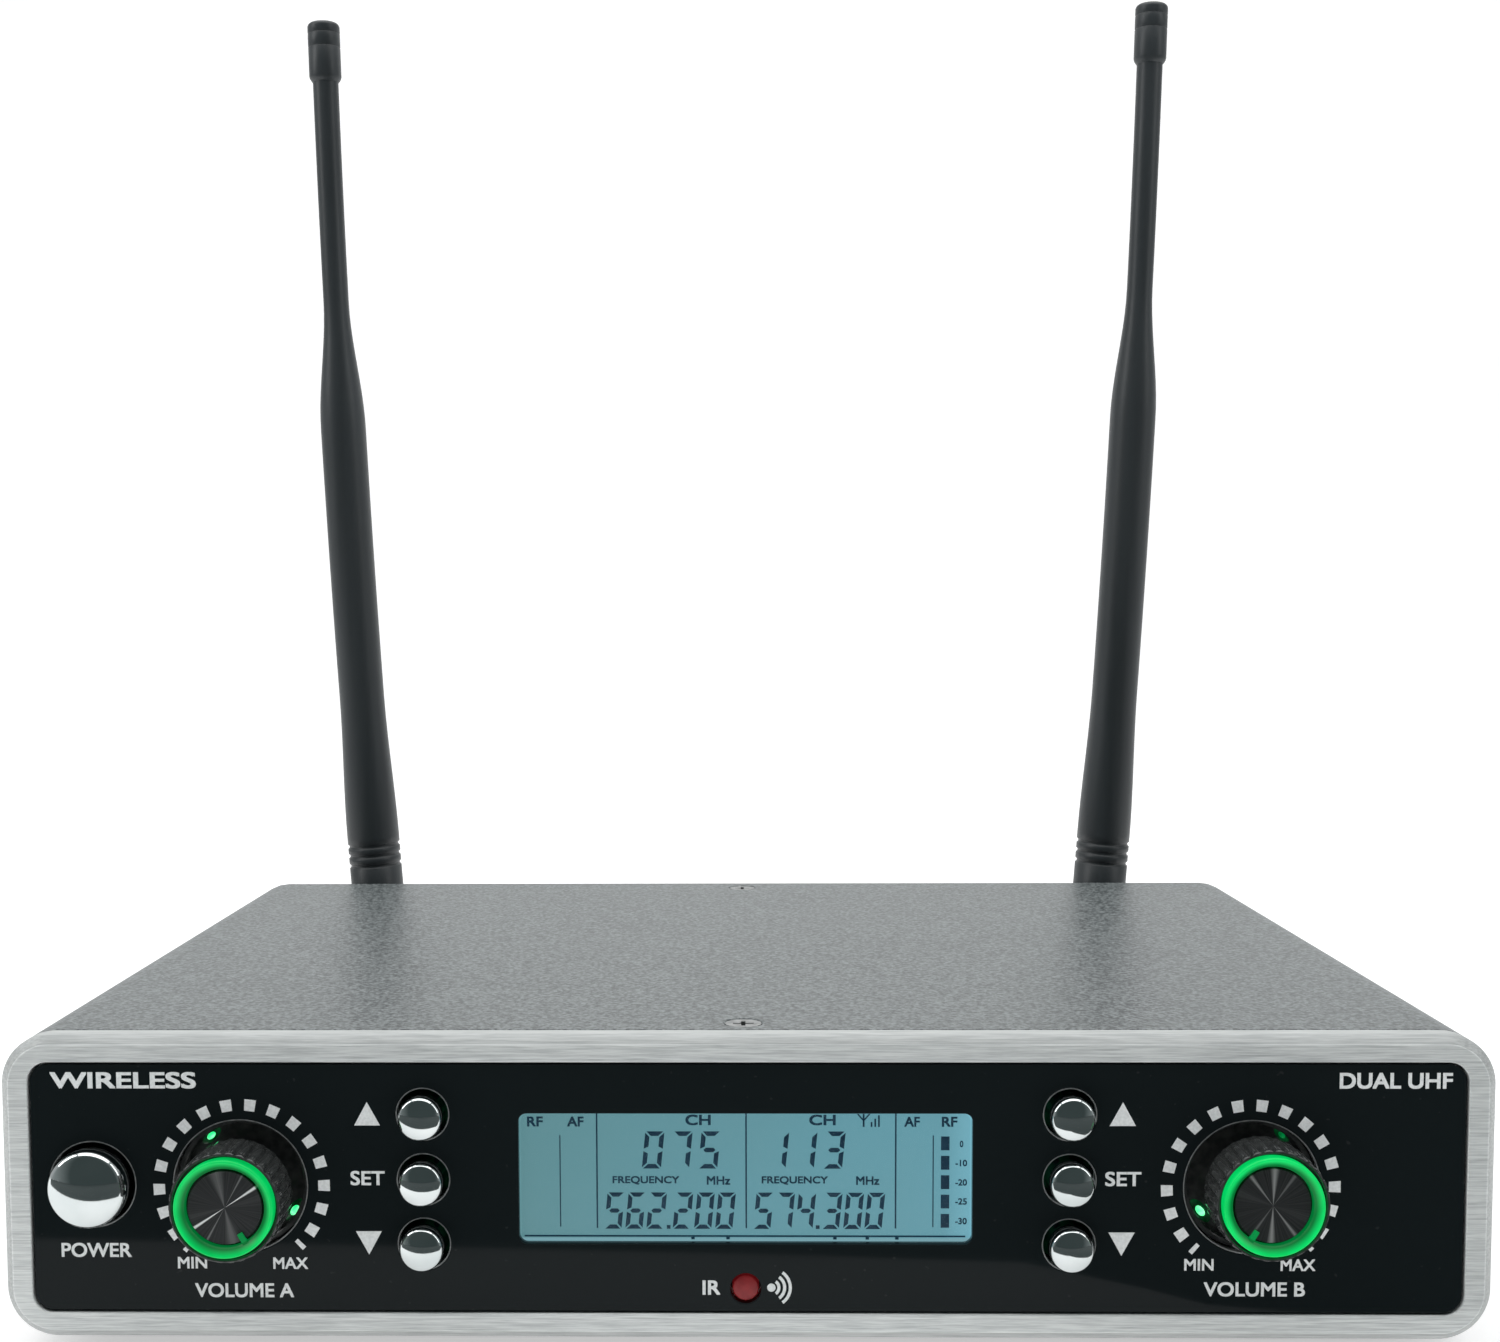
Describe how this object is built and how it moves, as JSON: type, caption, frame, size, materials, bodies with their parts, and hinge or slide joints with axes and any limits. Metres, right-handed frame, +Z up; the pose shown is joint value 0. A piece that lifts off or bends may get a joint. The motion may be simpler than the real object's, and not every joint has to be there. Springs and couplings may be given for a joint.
{
  "type": "wireless microphone receiver",
  "caption": "Half-rack two-channel wireless receiver with lit volume knobs, display, push buttons and fold-down rear whip antennas.",
  "frame": {"origin": "on the standing surface, under the middle of the object's box", "axes": "+X to the right of a person facing the front panel, +Y from the front panel to the back, +Z up"},
  "size_m": [0.212, 0.1788, 0.2359],
  "materials": {
    "brushed_panel": "brushed lengthwise, bright chamfer",
    "acrylic_panel": "gloss black sheet with printed legends",
    "display_glass": "clear window in the black sheet",
    "display_lit": "teal back-lit liquid crystal display",
    "infrared_red": "dark red, translucent",
    "cover_paint": "charcoal powder coat, fine texture",
    "chassis_paint": "black satin paint",
    "screw_steel": "plated steel",
    "foot_rubber": "matt",
    "board_green": "solder-masked board",
    "shield_can": "plain",
    "ribbon_grey": "plain",
    "component_metal": "plain",
    "black_plastic": "fine texture",
    "button_chrome": "mirror bright",
    "knob_plastic": "gloss black, ribbed grip",
    "green_light": "translucent, lit green",
    "knob_metal": "black anodised, spun",
    "connector_nickel": "nickel plated",
    "antenna_rubber": "satin black"
  },
  "bodies": {
    "case": {"front_panel": "brushed_panel", "front_insert": "acrylic_panel", "display_window": "display_glass", "display_module": "display_lit", "infrared_window": "infrared_red", "top_cover": "cover_paint", "chassis_tray": "chassis_paint", "rear_panel": "chassis_paint", "cover_screw_front": "screw_steel", "cover_screw_rear": "screw_steel", "foot_front_left": "foot_rubber", "foot_front_right": "foot_rubber", "foot_rear_left": "foot_rubber", "foot_rear_right": "foot_rubber", "main_board": "board_green", "control_board": "board_green", "radio_module_a": "shield_can", "radio_module_b": "shield_can", "ribbon_cable": "ribbon_grey", "potentiometer_a": "component_metal", "potentiometer_b": "component_metal", "light_well_a": "black_plastic", "light_well_b": "black_plastic", "power_switch": "black_plastic", "tact_switch_a_up": "black_plastic", "tact_switch_a_set": "black_plastic", "tact_switch_a_down": "black_plastic", "tact_switch_b_up": "black_plastic", "tact_switch_b_set": "black_plastic", "tact_switch_b_down": "black_plastic", "xlr_output_a": "connector_nickel", "xlr_output_b": "connector_nickel", "line_output": "black_plastic", "dc_inlet": "black_plastic", "antenna_jack_a": "connector_nickel", "antenna_jack_b": "connector_nickel"},
    "power_button": {"power_button": "button_chrome"},
    "button_a_up": {"button_a_up": "button_chrome"},
    "button_a_set": {"button_a_set": "button_chrome"},
    "button_a_down": {"button_a_down": "button_chrome"},
    "button_b_up": {"button_b_up": "button_chrome"},
    "button_b_set": {"button_b_set": "button_chrome"},
    "button_b_down": {"button_b_down": "button_chrome"},
    "knob_a": {"knob_body_a": "knob_plastic", "knob_shaft_a": "screw_steel", "light_ring_a": "green_light", "knob_face_a": "knob_metal"},
    "knob_b": {"knob_body_b": "knob_plastic", "knob_shaft_b": "screw_steel", "light_ring_b": "green_light", "knob_face_b": "knob_metal"},
    "antenna_a_fork": {"antenna_fork_a": "black_plastic", "antenna_pin_a": "screw_steel"},
    "antenna_a_whip": {"antenna_whip_a": "antenna_rubber", "antenna_cap_a": "antenna_rubber"},
    "antenna_b_fork": {"antenna_fork_b": "black_plastic", "antenna_pin_b": "screw_steel"},
    "antenna_b_whip": {"antenna_whip_b": "antenna_rubber", "antenna_cap_b": "antenna_rubber"}
  },
  "joints": [
    {"name": "power_press", "type": "slide", "parent": "case", "child": "power_button", "axis": [0, 1, 0], "range_m": [0, 0.002], "stiffness_N_per_m": 400},
    {"name": "button_a_up_press", "type": "slide", "parent": "case", "child": "button_a_up", "axis": [0, 1, 0], "range_m": [0, 0.0005], "stiffness_N_per_m": 600},
    {"name": "button_a_set_press", "type": "slide", "parent": "case", "child": "button_a_set", "axis": [0, 1, 0], "range_m": [0, 0.0005], "stiffness_N_per_m": 600},
    {"name": "button_a_down_press", "type": "slide", "parent": "case", "child": "button_a_down", "axis": [0, 1, 0], "range_m": [0, 0.0005], "stiffness_N_per_m": 600},
    {"name": "button_b_up_press", "type": "slide", "parent": "case", "child": "button_b_up", "axis": [0, 1, 0], "range_m": [0, 0.0005], "stiffness_N_per_m": 600},
    {"name": "button_b_set_press", "type": "slide", "parent": "case", "child": "button_b_set", "axis": [0, 1, 0], "range_m": [0, 0.0005], "stiffness_N_per_m": 600},
    {"name": "button_b_down_press", "type": "slide", "parent": "case", "child": "button_b_down", "axis": [0, 1, 0], "range_m": [0, 0.0005], "stiffness_N_per_m": 600},
    {"name": "volume_a_turn", "type": "hinge", "parent": "case", "child": "knob_a", "pos_m": [-0.07165, -0.07908, 0.025], "axis": [0, 1, 0], "range_deg": [-300, 0]},
    {"name": "volume_b_turn", "type": "hinge", "parent": "case", "child": "knob_b", "pos_m": [0.0723, -0.07908, 0.0255], "axis": [0, 1, 0], "range_deg": [-2, 298]},
    {"name": "antenna_a_swivel", "type": "hinge", "parent": "case", "child": "antenna_a_fork", "pos_m": [-0.0804, 0.08363, 0.027], "axis": [0, 1, 0], "range_deg": [-85, 49]},
    {"name": "antenna_a_fold", "type": "hinge", "parent": "antenna_a_fork", "child": "antenna_a_whip", "pos_m": [-0.0804, 0.08363, 0.027], "axis": [-0.9971, 0, -0.0762], "range_deg": [0, 90]},
    {"name": "antenna_b_swivel", "type": "hinge", "parent": "case", "child": "antenna_b_fork", "pos_m": [0.07815, 0.08363, 0.027], "axis": [0, 1, 0], "range_deg": [-49, 85]},
    {"name": "antenna_b_fold", "type": "hinge", "parent": "antenna_b_fork", "child": "antenna_b_whip", "pos_m": [0.07815, 0.08363, 0.027], "axis": [-0.9969, 0, 0.0788], "range_deg": [0, 90]}
  ]
}
